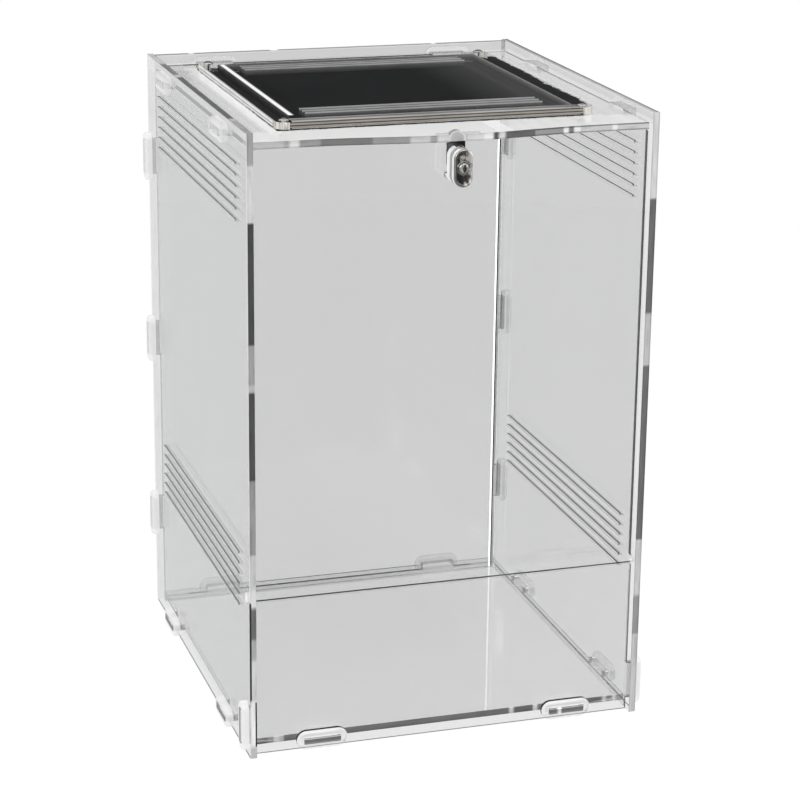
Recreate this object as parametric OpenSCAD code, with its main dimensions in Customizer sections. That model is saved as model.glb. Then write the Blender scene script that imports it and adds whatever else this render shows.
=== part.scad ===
// Clear sheet terrarium: six tabbed panels held by snap clips, a front door
// hinged at its bottom edge, a lock on the door and a meshed vent in the roof.
// Millimetres. X runs to the right, Y to the back, Z up, table at Z = 0.

/* [Enclosure] */
// Width over the two side panels
enc_w = 300; // [280:5:400]
// Depth of the side panels, front edge to rear edge
enc_d = 320; // [310:5:400]
// Height of the side panels
enc_h = 460; // [440:5:600]
// Thickness of every clear sheet
sheet = 5; // [4:0.5:6]
// Height of the floor panel's underside over the table
floor_z = 5; // [3:1:8]
// Distance from the side panels' top edge down to the roof's top face
roof_drop = 8; // [8:1:14]

/* [Front] */
// Height of the fixed lower front panel
lower_h = 118; // [90:1:140]
// Distance from the side panels' front edge back to the door's front face
front_inset = 7; // [6:0.5:10]
// Gap between the lower panel and the door
door_gap = 1.5; // [1:0.1:3]
// Gap between the door and each side panel
door_side_gap = 0.6; // [0.4:0.1:1.5]
// Play between the corners of the door's square ears and the round hinge holes
hinge_play = 0.065; // [0.03:0.005:0.09]

/* [Tabs and clips] */
// Width of every tab
tab_w = 28; // [20:1:32]
// How far a tab stands out of the panel it passes through
tab_out = 5.5; // [5.2:0.1:7]
// Length of a snap clip
clip_l = 38; // [36:1:44]
// Width of a snap clip
clip_w = 14; // [12:0.5:14]
// Thickness of a snap clip
clip_t = 5; // [4:0.5:5]

/* [Side vents] */
// Number of slots in each group
slot_n = 6; // [2:1:8]
// Distance from one slot to the next
slot_pitch = 8; // [6:0.5:9]
// Width of a slot
slot_w = 2; // [1:0.1:3]
// Length of a slot
slot_l = 250; // [150:5:260]
// Height of the middle of the lower group
slot_low_z = 127.5; // [110:0.5:160]
// Distance from the side panels' top down to the middle of the upper group
slot_high_drop = 47.5; // [44:0.5:70]

/* [Roof vent] */
// Width of the vent frame
vent_w = 236; // [220:2:250]
// Depth of the vent frame
vent_d = 245; // [200:1:250]
// Width of the vent frame's rails
vent_rail = 13.2; // [12:0.2:18]
// Distance of the vent's middle behind the enclosure's middle
vent_y = 4; // [0:1:8]
// Thickness of the mesh
mesh_t = 0.4; // [0.3:0.1:1]
// Length of the slots in the vent plate
vent_slot_l = 178; // [100:2:180]

/* [Lock] */
// Width of the lock housing
lock_w = 14.6; // [13:0.1:16]
// Height of the lock housing
lock_h = 27; // [26:0.5:29]
// How far the housing stands out of the door
lock_out = 22; // [16:0.5:24]
// Distance from the roof's underside down to the plug's axis
lock_drop = 16; // [16:0.5:17]
// Width of the cam's tongue
cam_w = 12; // [10:0.5:12]
// Distance from the plug's axis to the middle of the cam's round tip
cam_reach = 17.2; // [16:0.1:17.4]

/* [Hidden] */
$fn = 64;

// Colours: clear sheet, clear clips, mesh, chrome, steel
clear = [0.80, 0.83, 0.83, 0.45];
clip_c = [0.93, 0.94, 0.94, 0.6];

// Panel planes
xi = enc_w / 2 - sheet;            // inner face of a side panel
xo = enc_w / 2;                    // outer face of a side panel
yf = -enc_d / 2 + front_inset;     // front face of door and lower panel
yfb = yf + sheet;                  // their rear face
yb = enc_d / 2 - clip_w / 2 - sheet / 2; // inner face of the back panel
ybb = yb + sheet;                  // its outer face
roof_t = enc_h - roof_drop;        // top face of the roof
roof_b = roof_t - sheet;           // its underside
floor_mid = floor_z + sheet / 2;
roof_mid = roof_t - sheet / 2;

// Tab stations
floor_x = 95;                      // floor tabs, front and rear
roof_x = 97;                       // roof tabs, rear
side_y = 90;                       // floor and roof tabs, sides
back_z = [80, enc_h / 2, enc_h - 80];
front_z = 23;                      // lower front panel's side tabs
fit = 0.1;                         // clearance round a tab

// Hinge: square ears turning in round holes
hinge_y = yf + sheet / 2;
hinge_z = lower_h + door_gap + sheet / 2;
door_b = lower_h + door_gap;
door_t = roof_b - 0.6;
door_x = xi - door_side_gap;
hinge_hole_r = sheet * sqrt(2) / 2 + hinge_play;

// Roof lip: a cosine bow, highest in the middle
lip_half = 105;
lip_out = 8.5;
function lip(x) = abs(x) < lip_half ? yf - lip_out * (0.5 + 0.5 * cos(180 * x / lip_half)) : yf;

// Lock, measured from the door's front face
lock_z = roof_b - lock_drop;
lock_r = lock_w / 2;
lock_front = yf - lock_out;
cam_back = yf - 0.5;               // rear face of the cam
cam_front = cam_back - sheet;      // front face of the cam
body_back = cam_front - 0.3;       // rear face of the housing's upper part
plug_r = 4;
plug_front = lock_front - 1.2;
slot_back = yf;                    // roof slot, rear wall
slot_front = cam_front - 0.5;      // roof slot, front wall
slot_left = -14.5;
slot_right = 17.3;
gate_half = cam_w / 2 + 0.6;

// Vent
ring_z = roof_t + mesh_t;
ring_in_x = vent_w / 2 - vent_rail;
ring_in_y = vent_d / 2 - vent_rail;
screw_x = vent_w / 2 - 7.5;
screw_y = vent_d / 2 - 8;
vent_rows = concat([for (i = [0 : 2]) -(ring_in_y - 18.3 - i * slot_pitch)],
                   [for (i = [0 : 2]) ring_in_y - 8.3 - i * slot_pitch]);

// The origin is the middle of the whole object's footprint
y_front = plug_front;
y_rear = ybb + tab_out;
y_shift = -(y_front + y_rear) / 2;

// ---------------------------------------------------------------- helpers

// Sheet with round ends, along X, from Z = 0 to h
module stadium(l, w, h) {
  translate([-(l - w) / 2, -w / 2, 0]) cube([l - w, w, h]);
  for (s = [-1, 1]) translate([s * (l - w) / 2, 0, 0]) cylinder(h = h, r = w / 2);
}

// The same with a chamfer round its upper edge
module stadium_ch(l, w, h, c) {
  stadium(l, w, h - c);
  translate([0, 0, h - c]) {
    rotate([90, 0, 90]) translate([0, 0, -(l - w) / 2]) linear_extrude(l - w)
      polygon([[-w / 2, 0], [w / 2, 0], [w / 2 - c, c], [-w / 2 + c, c]]);
    for (s = [-1, 1]) translate([s * (l - w) / 2, 0, 0])
      cylinder(h = c, r1 = w / 2, r2 = w / 2 - c);
  }
}

// Rectangle with round corners, centred, from Z = 0 to h
module round_rect(w, d, h, r) {
  translate([-w / 2 + r, -d / 2, 0]) cube([w - 2 * r, d, h]);
  translate([-w / 2, -d / 2 + r, 0]) cube([w, d - 2 * r, h]);
  for (sx = [-1, 1], sy = [-1, 1])
    translate([sx * (w / 2 - r), sy * (d / 2 - r), 0]) cylinder(h = h, r = r);
}

// A tab along local X, standing from z0 to the tip at local Z = sheet + tab_out,
// notched on both sides where a clip's ribs snap in
module tab(z0) {
  difference() {
    translate([-tab_w / 2, -sheet / 2, z0]) cube([tab_w, sheet, sheet + tab_out - z0]);
    for (s = [-1, 1])
      translate([s * tab_w / 2 - 0.9, -sheet, sheet + 2.1]) cube([1.8, 2 * sheet, 1.5]);
    for (s = [-1, 1])
      translate([s * tab_w / 2, 0, sheet + tab_out]) rotate([0, 45, 0])
        cube([1.2, 2 * sheet, 1.2], center = true);
  }
}

// The mortise for such a tab
module mortise() {
  translate([-tab_w / 2 - fit, -sheet / 2 - fit, -1])
    cube([tab_w + 2 * fit, sheet + 2 * fit, sheet + 2]);
}

// One clip, lying on local Z = sheet (the outer face of the panel)
module clip() {
  translate([0, 0, sheet]) {
    difference() {
      stadium_ch(clip_l, clip_w, clip_t, 0.9);
      translate([-tab_w / 2 - fit, -sheet / 2 - fit, -1])
        cube([tab_w + 2 * fit, sheet + 2 * fit, clip_t + 2]);
    }
    for (s = [-1, 1]) mirror([s < 0 ? 1 : 0, 0, 0])
      translate([tab_w / 2 - 0.6, -sheet / 2 - fit, 2.35]) cube([1.2, sheet + 2 * fit, 1]);
  }
}

// Frames on the five panel faces. Local X runs along the clip, local Z outwards,
// and local Z = 0 is the panel's inner face.
module on_left(y, z, up = false) {
  translate([-xi, y, z]) rotate([0, -90, 0]) rotate([0, 0, up ? 0 : 90]) children();
}
module on_right(y, z, up = false) {
  translate([xi, y, z]) rotate([0, 90, 0]) rotate([0, 0, up ? 0 : 90]) children();
}
module on_back(x, z) translate([x, yb, z]) rotate([-90, 0, 0]) children();
module on_front(x, z) translate([x, yfb, z]) rotate([90, 0, 0]) children();

module placed() translate([0, y_shift, 0]) children();

// ---------------------------------------------------------------- panels

// Openings of a side panel, in the left panel's place
module side_panel_cuts() {
  // vents
  for (zc = [slot_low_z, enc_h - slot_high_drop], i = [0 : slot_n - 1])
    on_left(-2, zc + (i - (slot_n - 1) / 2) * slot_pitch)
      translate([0, 0, -1]) stadium(slot_l, slot_w, sheet + 2);
  // mortises
  for (y = [-side_y, side_y]) {
    on_left(y, floor_mid) mortise();
    on_left(y, roof_mid) mortise();
  }
  for (z = back_z) on_left(yb + sheet / 2, z, true) mortise();
  on_left(yf + sheet / 2, front_z, true) mortise();
  // hinge hole
  on_left(hinge_y, hinge_z) translate([0, 0, -1]) cylinder(h = sheet + 2, r = hinge_hole_r);
}

module side_panel() {
  difference() {
    translate([-xo, -enc_d / 2, 0]) cube([sheet, enc_d, enc_h]);
    side_panel_cuts();
  }
}

module left_side_panel() {
  color(clear) placed() side_panel();
}

module right_side_panel() {
  color(clear) placed() mirror([1, 0, 0]) side_panel();
}

module back_panel() {
  color(clear) placed() difference() {
    union() {
      translate([-xi, yb, 0]) cube([2 * xi, sheet, enc_h]);
      for (z = back_z) {
        on_left(yb + sheet / 2, z, true) tab(-2);
        on_right(yb + sheet / 2, z, true) tab(-2);
      }
    }
    for (s = [-1, 1]) {
      on_back(s * floor_x, floor_mid) mortise();
      on_back(s * roof_x, roof_mid) mortise();
    }
  }
}

module floor_panel() {
  color(clear) placed() union() {
    translate([-xi, yfb, floor_z]) cube([2 * xi, yb - yfb, sheet]);
    for (y = [-side_y, side_y]) {
      on_left(y, floor_mid) tab(-2);
      on_right(y, floor_mid) tab(-2);
    }
    for (s = [-1, 1]) {
      on_back(s * floor_x, floor_mid) tab(-2);
      on_front(s * floor_x, floor_mid) tab(-2);
    }
  }
}

module lower_front_panel() {
  color(clear) placed() difference() {
    union() {
      translate([-xi, yf, 0]) cube([2 * xi, sheet, lower_h]);
      on_left(yf + sheet / 2, front_z, true) tab(-2);
      on_right(yf + sheet / 2, front_z, true) tab(-2);
    }
    for (s = [-1, 1]) on_front(s * floor_x, floor_mid) mortise();
  }
}

// Roof: bowed lip in front; the lock's slot lies behind a thin strip of the lip
// that has a gate in its middle, where the upright tongue leaves the slot
module roof_panel() {
  color(clear) placed() difference() {
    union() {
      translate([0, 0, roof_b]) linear_extrude(sheet)
        polygon(concat([[-xi, yb], [-xi, yf]],
                       [for (i = [-30 : 30]) [i * lip_half / 30, lip(i * lip_half / 30)]],
                       [[xi, yf], [xi, yb]]));
      for (y = [-side_y, side_y]) {
        on_left(y, roof_mid) tab(-2);
        on_right(y, roof_mid) tab(-2);
      }
      for (s = [-1, 1]) on_back(s * roof_x, roof_mid) tab(-2);
    }
    // vent opening
    translate([0, vent_y, roof_b - 1])
      round_rect(2 * ring_in_x - 9, 2 * ring_in_y - 9, sheet + 2, 5);
    vent_holes(roof_b - 1, sheet + 2, 1.65);
    // lock slot, and the gate in front of it
    translate([slot_left, slot_front, roof_b - 1])
      cube([slot_right - slot_left, slot_back - slot_front, sheet + 2]);
    translate([-gate_half, slot_front - 10, roof_b - 1])
      cube([2 * gate_half, 10.5, sheet + 2]);
  }
}

// Door: the ears at its bottom corners are square, and turn in round holes
module front_door() {
  color(clear) placed() difference() {
    union() {
      translate([-door_x, yf, door_b]) cube([2 * door_x, sheet, door_t - door_b]);
      translate([-xo + 0.2, yf, door_b]) cube([enc_w - 0.4, sheet, sheet]);
    }
    for (s = [-1, 1]) translate([s * 3, yfb + 1, lock_z - 10]) rotate([90, 0, 0])
      cylinder(h = sheet + 2, r = 1.65);
  }
}

// ---------------------------------------------------------------- clips

module floor_front_clips() {
  color(clip_c) placed() for (s = [-1, 1]) on_front(s * floor_x, floor_mid) clip();
}
module floor_rear_clips() {
  color(clip_c) placed() for (s = [-1, 1]) on_back(s * floor_x, floor_mid) clip();
}
module floor_left_clips() {
  color(clip_c) placed() for (y = [-side_y, side_y]) on_left(y, floor_mid) clip();
}
module floor_right_clips() {
  color(clip_c) placed() for (y = [-side_y, side_y]) on_right(y, floor_mid) clip();
}
module back_left_clips() {
  color(clip_c) placed() for (z = back_z) on_left(yb + sheet / 2, z, true) clip();
}
module back_right_clips() {
  color(clip_c) placed() for (z = back_z) on_right(yb + sheet / 2, z, true) clip();
}
module front_left_clip() {
  color(clip_c) placed() on_left(yf + sheet / 2, front_z, true) clip();
}
module front_right_clip() {
  color(clip_c) placed() on_right(yf + sheet / 2, front_z, true) clip();
}
module roof_left_clips() {
  color(clip_c) placed() for (y = [-side_y, side_y]) on_left(y, roof_mid) clip();
}
module roof_right_clips() {
  color(clip_c) placed() for (y = [-side_y, side_y]) on_right(y, roof_mid) clip();
}
module roof_rear_clips() {
  color(clip_c) placed() for (s = [-1, 1]) on_back(s * roof_x, roof_mid) clip();
}

// ---------------------------------------------------------------- roof vent

// Four holes at the vent's corners
module vent_holes(z, h, r) {
  for (sx = [-1, 1], sy = [-1, 1])
    translate([sx * screw_x, vent_y + sy * screw_y, z]) cylinder(h = h, r = r);
}

// The mesh is cut a little larger than the frame
module vent_mesh() {
  color([0.06, 0.06, 0.07]) placed() difference() {
    translate([-vent_w / 2 - 1.2, vent_y - vent_d / 2 - 1.2, roof_t])
      cube([vent_w + 2.4, vent_d + 2.4, mesh_t]);
    vent_holes(roof_t - 1, mesh_t + 2, 1.65);
  }
}

module vent_frame() {
  color(clear) placed() difference() {
    translate([0, vent_y, ring_z]) round_rect(vent_w, vent_d, sheet, 9);
    translate([0, vent_y, ring_z - 1])
      round_rect(2 * ring_in_x, 2 * ring_in_y, sheet + 2, 2);
    vent_holes(ring_z - 1, sheet + 2, 1.65);
  }
}

module vent_plate() {
  color(clear) placed() difference() {
    translate([0, vent_y, ring_z])
      round_rect(2 * ring_in_x - 1, 2 * ring_in_y - 1, sheet, 1.6);
    for (d = vent_rows)
      translate([0, vent_y + d, ring_z - 1]) stadium(vent_slot_l, slot_w, sheet + 2);
  }
}

// Button head screw, head on Z = 0
module vent_screw() {
  difference() {
    union() {
      cylinder(h = 0.7, r = 3.7);
      intersection() {
        cylinder(h = 2.3, r = 3.7);
        translate([0, 0, -2.85]) sphere(r = 5.15);
      }
      translate([0, 0, -(sheet * 2 + mesh_t + 4.2)]) cylinder(h = sheet * 2 + mesh_t + 4.3, r = 1.5);
    }
    translate([0, 0, 1]) cylinder(h = 3, r = 1.25, $fn = 6);
  }
}

module vent_screws() {
  color([0.75, 0.75, 0.77]) placed() for (sx = [-1, 1], sy = [-1, 1])
    translate([sx * screw_x, vent_y + sy * screw_y, ring_z + sheet]) vent_screw();
}

module vent_washers() {
  color([0.75, 0.75, 0.77]) placed() for (sx = [-1, 1], sy = [-1, 1])
    translate([sx * screw_x, vent_y + sy * screw_y, roof_b - 0.8]) difference() {
      cylinder(h = 0.8, r = 3.5);
      translate([0, 0, -1]) cylinder(h = 3, r = 1.6);
    }
}

module vent_nuts() {
  color([0.75, 0.75, 0.77]) placed() for (sx = [-1, 1], sy = [-1, 1])
    translate([sx * screw_x, vent_y + sy * screw_y, roof_b - 3.2]) difference() {
      cylinder(h = 2.4, r = 3.175, $fn = 6);
      translate([0, 0, -1]) cylinder(h = 5, r = 1.52);
    }
}

// ---------------------------------------------------------------- lock

// Housing: round-ended body in front, and a foot below the cam that meets the door
module lock_housing() {
  color([0.85, 0.85, 0.87]) placed() difference() {
    union() {
      translate([0, body_back, lock_z]) rotate([90, 0, 0]) rotate([0, 0, 90])
        stadium_ch(lock_h, lock_w, body_back - lock_front, 0.7);
      intersection() {
        translate([0, yf, lock_z]) rotate([90, 0, 0]) rotate([0, 0, 90])
          stadium(lock_h, lock_w, yf - body_back + 2);
        translate([-lock_w, body_back - 2, lock_z - lock_h])
          cube([2 * lock_w, yf - body_back + 2, lock_h - cam_w / 2 - 0.7]);
      }
    }
    // bore for the plug
    translate([0, body_back + 1, lock_z]) rotate([90, 0, 0])
      cylinder(h = lock_out + 4, r = plug_r + 0.05);
    // screw holes in the foot
    for (s = [-1, 1]) translate([s * 3, yf + 1, lock_z - 10]) rotate([90, 0, 0])
      cylinder(h = 6.5, r = 1.5);
  }
}

module lock_screws() {
  color([0.75, 0.75, 0.77]) placed() for (s = [-1, 1])
    translate([s * 3, yfb, lock_z - 10]) rotate([90, 0, 0]) {
      cylinder(h = sheet + 5, r = 1.45);
      difference() {
        translate([0, 0, -1.7]) cylinder(h = 1.7, r = 2.6);
        translate([0, 0, -2.7]) cylinder(h = 1.9, r = 1.15, $fn = 6);
      }
    }
}

// Plug: round, with a keyway in its face and a square tail for the cam
module lock_plug() {
  color([0.8, 0.8, 0.82]) placed() translate([0, 0, lock_z]) difference() {
    union() {
      translate([0, body_back - 0.1, 0]) rotate([90, 0, 0])
        cylinder(h = body_back - 0.1 - plug_front - 0.5, r = plug_r);
      translate([0, plug_front + 0.5, 0]) rotate([90, 0, 0])
        cylinder(h = 0.5, r1 = plug_r, r2 = plug_r - 0.5);
      translate([-2, body_back - 1, -2]) cube([4, cam_back - 2.6 - body_back + 1, 4]);
    }
    translate([-0.6, plug_front - 1, -2.6]) cube([1.2, 9, 5.2]);
    translate([0, cam_back, 0]) rotate([90, 0, 0]) cylinder(h = 11, r = 1.25);
  }
}

// Cam: hub and tongue of one width, round at both ends, upright at rest
module lock_cam() {
  color([0.8, 0.8, 0.82]) placed() translate([0, cam_back, lock_z]) difference() {
    translate([0, 0, cam_reach / 2]) rotate([90, 0, 0]) rotate([0, 0, 90])
      stadium(cam_reach + cam_w, cam_w, cam_back - cam_front);
    translate([-2, -sheet - 1, -2]) cube([4, sheet + 2, 4]);
    translate([0, 1, 0]) rotate([90, 0, 0]) cylinder(h = 3.6, r = 3.1);
  }
}

module cam_screw() {
  color([0.75, 0.75, 0.77]) placed() translate([0, cam_back - 2.6, lock_z]) rotate([90, 0, 0]) {
    cylinder(h = 7.5, r = 1.22);
    difference() {
      translate([0, 0, -2.1]) cylinder(h = 2.1, r = 2.75);
      translate([0, 0, -3.1]) cylinder(h = 2.2, r = 1.15, $fn = 6);
    }
  }
}

// ---------------------------------------------------------------- assembly

left_side_panel();
right_side_panel();
back_panel();
floor_panel();
roof_panel();
lower_front_panel();
front_door();
floor_front_clips();
floor_rear_clips();
floor_left_clips();
floor_right_clips();
back_left_clips();
back_right_clips();
front_left_clip();
front_right_clip();
roof_left_clips();
roof_right_clips();
roof_rear_clips();
vent_mesh();
vent_frame();
vent_plate();
vent_screws();
vent_washers();
vent_nuts();
lock_housing();
lock_screws();
lock_plug();
lock_cam();
cam_screw();
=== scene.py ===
import math
import random

import bmesh
import bpy
from mathutils import Matrix, Vector

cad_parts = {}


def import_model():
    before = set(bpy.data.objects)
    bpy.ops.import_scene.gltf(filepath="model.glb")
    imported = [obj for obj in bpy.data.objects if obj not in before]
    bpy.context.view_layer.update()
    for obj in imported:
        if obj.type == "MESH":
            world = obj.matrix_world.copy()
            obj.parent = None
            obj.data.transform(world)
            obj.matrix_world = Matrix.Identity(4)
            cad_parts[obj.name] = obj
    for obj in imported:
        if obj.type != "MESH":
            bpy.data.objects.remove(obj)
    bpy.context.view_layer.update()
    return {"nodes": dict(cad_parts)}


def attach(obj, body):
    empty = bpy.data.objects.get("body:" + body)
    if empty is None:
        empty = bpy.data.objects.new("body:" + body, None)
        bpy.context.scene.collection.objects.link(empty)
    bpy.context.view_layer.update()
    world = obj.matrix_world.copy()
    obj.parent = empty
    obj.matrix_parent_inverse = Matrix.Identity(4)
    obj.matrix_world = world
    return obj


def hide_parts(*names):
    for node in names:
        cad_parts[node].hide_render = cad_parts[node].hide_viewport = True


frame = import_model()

NODES = frame["nodes"]

# Planes of the model, in metres, as the construction has them
YS = 0.0076                       # shift of the footprint's middle
XI, XO = 0.145, 0.150             # inner and outer faces of the side panels
YF, YFB = -0.153 + YS, -0.148 + YS
YB, YBB = 0.1505 + YS, 0.1555 + YS
ROOF_T, ROOF_B = 0.452, 0.447
TOP = 0.460


# ---------------------------------------------------------------- node helper

class G:
    """A small builder for a material's nodes."""

    def __init__(self, name):
        self.mat = bpy.data.materials.new(name)
        self.mat.use_nodes = True
        self.nt = self.mat.node_tree
        self.nt.nodes.clear()
        self.out = self.nt.nodes.new("ShaderNodeOutputMaterial")
        self.tc = None

    def node(self, kind, **props):
        n = self.nt.nodes.new(kind)
        for k, v in props.items():
            setattr(n, k, v)
        return n

    def link(self, a, b):
        self.nt.links.new(a, b)

    def put(self, sock, v):
        if hasattr(v, "is_linked") or hasattr(v, "links"):
            self.link(v, sock)
        else:
            sock.default_value = v

    def coord(self, what="Object"):
        if self.tc is None:
            self.tc = self.node("ShaderNodeTexCoord")
        return self.tc.outputs[what]

    def xyz(self, v):
        n = self.node("ShaderNodeSeparateXYZ")
        self.link(v, n.inputs[0])
        return n.outputs

    def math(self, op, a, b=None, c=None, clamp=False):
        n = self.node("ShaderNodeMath", operation=op, use_clamp=clamp)
        self.put(n.inputs[0], a)
        if b is not None:
            self.put(n.inputs[1], b)
        if c is not None:
            self.put(n.inputs[2], c)
        return n.outputs[0]

    def mapping(self, v, scale=(1, 1, 1), loc=(0, 0, 0), rot=(0, 0, 0)):
        n = self.node("ShaderNodeMapping")
        self.link(v, n.inputs["Vector"])
        n.inputs["Scale"].default_value = scale
        n.inputs["Location"].default_value = loc
        n.inputs["Rotation"].default_value = rot
        return n.outputs[0]

    def noise(self, v, scale=5.0, detail=2.0, rough=0.5, dist=0.0):
        n = self.node("ShaderNodeTexNoise")
        self.link(v, n.inputs["Vector"])
        n.inputs["Scale"].default_value = scale
        n.inputs["Detail"].default_value = detail
        n.inputs["Roughness"].default_value = rough
        n.inputs["Distortion"].default_value = dist
        return n.outputs["Fac"]

    def wave(self, v, scale, direction="X", dist=0.0, profile="SIN"):
        n = self.node("ShaderNodeTexWave", wave_type="BANDS", bands_direction=direction, wave_profile=profile)
        self.link(v, n.inputs["Vector"])
        n.inputs["Scale"].default_value = scale
        n.inputs["Distortion"].default_value = dist
        return n.outputs["Fac"]

    def ramp(self, f, stops, mode="LINEAR"):
        n = self.node("ShaderNodeValToRGB")
        self.link(f, n.inputs[0])
        cr = n.color_ramp
        cr.interpolation = mode
        while len(cr.elements) > 1:
            cr.elements.remove(cr.elements[-1])
        cr.elements[0].position = stops[0][0]
        cr.elements[0].color = col(stops[0][1])
        for p, c in stops[1:]:
            e = cr.elements.new(p)
            e.color = col(c)
        return n.outputs[0]

    def maprange(self, v, a, b, c=0.0, d=1.0, smooth=False):
        n = self.node("ShaderNodeMapRange", clamp=True)
        if smooth:
            n.interpolation_type = "SMOOTHSTEP"
        self.put(n.inputs[0], v)
        for i, x in enumerate((a, b, c, d)):
            n.inputs[i + 1].default_value = x
        return n.outputs[0]

    def mixc(self, f, a, b, mode="MIX"):
        n = self.node("ShaderNodeMix", data_type="RGBA", blend_type=mode)
        self.put(n.inputs[0], f)
        self.put(n.inputs[6], a if hasattr(a, "links") else col(a))
        self.put(n.inputs[7], b if hasattr(b, "links") else col(b))
        return n.outputs[2]

    def bump(self, h, strength=0.3, dist=0.001, normal=None):
        n = self.node("ShaderNodeBump")
        self.link(h, n.inputs["Height"])
        n.inputs["Strength"].default_value = strength
        n.inputs["Distance"].default_value = dist
        if normal is not None:
            self.link(normal, n.inputs["Normal"])
        return n.outputs[0]

    def transparent(self, c):
        n = self.node("ShaderNodeBsdfTransparent")
        self.put(n.inputs[0], c if hasattr(c, "links") else col(c))
        return n.outputs[0]

    def glossy(self, c, rough):
        n = self.node("ShaderNodeBsdfGlossy")
        self.put(n.inputs["Color"], c if hasattr(c, "links") else col(c))
        self.put(n.inputs["Roughness"], rough)
        return n.outputs[0]

    def diffuse(self, c):
        n = self.node("ShaderNodeBsdfDiffuse")
        self.put(n.inputs["Color"], c if hasattr(c, "links") else col(c))
        return n.outputs[0]

    def principled(self, **kw):
        n = self.node("ShaderNodeBsdfPrincipled")
        for k, v in kw.items():
            s = n.inputs[k.replace("_", " ")]
            self.put(s, v)
        return n.outputs[0]

    def mix(self, f, a, b):
        n = self.node("ShaderNodeMixShader")
        self.put(n.inputs[0], f)
        self.link(a, n.inputs[1])
        self.link(b, n.inputs[2])
        return n.outputs[0]

    def fresnel(self, f0=0.04, top=0.96):
        """How much a thin clear sheet mirrors, the same from either side of its surface."""
        n = self.node("ShaderNodeLayerWeight")
        n.inputs["Blend"].default_value = 0.5
        p = self.math("POWER", n.outputs["Facing"], 5.0)
        return self.math("MULTIPLY_ADD", p, top, f0)

    def done(self, shader):
        self.link(shader, self.out.inputs["Surface"])
        return self.mat


def col(c):
    if isinstance(c, (int, float)):
        return (c, c, c, 1.0)
    return tuple(c) if len(c) == 4 else (*c, 1.0)


# ---------------------------------------------------------------- clear sheet
#
# Sheets and clips are clear: light falls through them, so they neither shade the
# floor nor each other. Cut edges carry painted light and shade: dark and bright
# stretches stand in for the light a polished clear edge gathers, each laid out
# along the edge in mm.

def lin(v):
    v = v / 255.0
    return v / 12.92 if v <= 0.04045 else ((v + 0.055) / 1.055) ** 2.4


def clear_part(node):
    o = NODES[node]
    o.visible_shadow = False
    o.visible_diffuse = False


def put_mat(node, mat):
    o = NODES[node]
    o.data.materials.clear()
    o.data.materials.append(mat)
    for p in o.data.polygons:
        p.material_index = 0


class S(G):
    """Nodes for one sheet, with its place in mm."""

    def __init__(self, name, axis):
        super().__init__(name)
        self.axis = axis
        self.obj = self.coord("Object")
        c = self.xyz(self.obj)
        n = self.xyz(self.coord("Normal"))
        self.x, self.y, self.z = (self.math("MULTIPLY", c[i], 1000.0) for i in range(3))
        self.n = [self.math("ABSOLUTE", n[i]) for i in range(3)]
        self.face = self.math("GREATER_THAN", self.n["XYZ".index(axis)], 0.6)

    def gt(self, v, a):
        return self.math("GREATER_THAN", v, a)

    def lt(self, v, a):
        return self.math("LESS_THAN", v, a)

    def both(self, a, b):
        return self.math("MULTIPLY", a, b)

    def either(self, a, b):
        return self.math("MAXIMUM", a, b)

    def within(self, v, a, b):
        return self.both(self.gt(v, a), self.lt(v, b))

    def steps(self, v, spans, soft=1.2):
        """spans: (start in mm, grey 0-255) one after the other, and the end at last."""
        a, b = spans[0][0], spans[-1][0]
        f = self.maprange(v, a, b)
        w = soft / 2.0 / (b - a)
        stops = [(0.0, lin(spans[0][1]))]
        for i in range(1, len(spans) - 1):
            p = (spans[i][0] - a) / (b - a)
            stops.append((max(p - w, stops[-1][0] + 1e-4), lin(spans[i - 1][1])))
            stops.append((min(p + w, 1.0), lin(spans[i][1])))
        return self.ramp(f, stops)

    def pick(self, mask, yes, no):
        return self.mixc(mask, no, yes)

    def chain(self, cases, default):
        out = default
        for mask, v in reversed(cases):
            out = self.pick(mask, v, out)
        return out

    def finish_sheet(self, tint, ecol, ealpha, f0=0.04, top=0.5, haze_and_painted_light=None, haze_and_painted_light_c=0.93, gloss_rough=(0.01, 0.05), over=()):
        obj = self.obj
        soft = self.noise(obj, scale=5.0, detail=2.0)
        t = self.ramp(soft, [(0.3, (tint * 0.993, tint * 0.995, tint * 0.994)), (0.7, (tint, tint * 1.002, tint))])
        see = self.transparent(t)
        # mixes a diffuse colour into the clear face: a faint haze, and painted light and painted shade on the strips
        # that callers mark
        if haze_and_painted_light is not None:
            see = self.mix(haze_and_painted_light, see, self.diffuse(haze_and_painted_light_c))
        smear = self.noise(self.mapping(obj, scale=(9, 9, 4)), scale=2.0, detail=4.0)
        rough = self.maprange(smear, 0.3, 0.8, gloss_rough[0], gloss_rough[1])
        faces = self.mix(self.fresnel(f0, top), see, self.glossy(1.0, rough))
        for mask, shader in over:
            faces = self.mix(mask, faces, shader)
        stretch = {"X": (60, 9, 9), "Y": (9, 60, 9), "Z": (9, 9, 60)}[self.axis]
        n1 = self.noise(self.mapping(obj, scale=stretch), scale=6.0, detail=3.0, rough=0.6)
        streak = self.ramp(n1, [(0.30, 0.82), (0.50, 1.0), (0.70, 1.08)])
        c = self.mixc(1.0, ecol, streak, "MULTIPLY")
        esh = self.mix(ealpha, self.transparent(0.95), self.diffuse(c))
        esh = self.mix(self.fresnel(0.03, 0.2), esh, self.glossy(1.0, 0.15))
        return self.done(self.mix(self.face, esh, faces))


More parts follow.
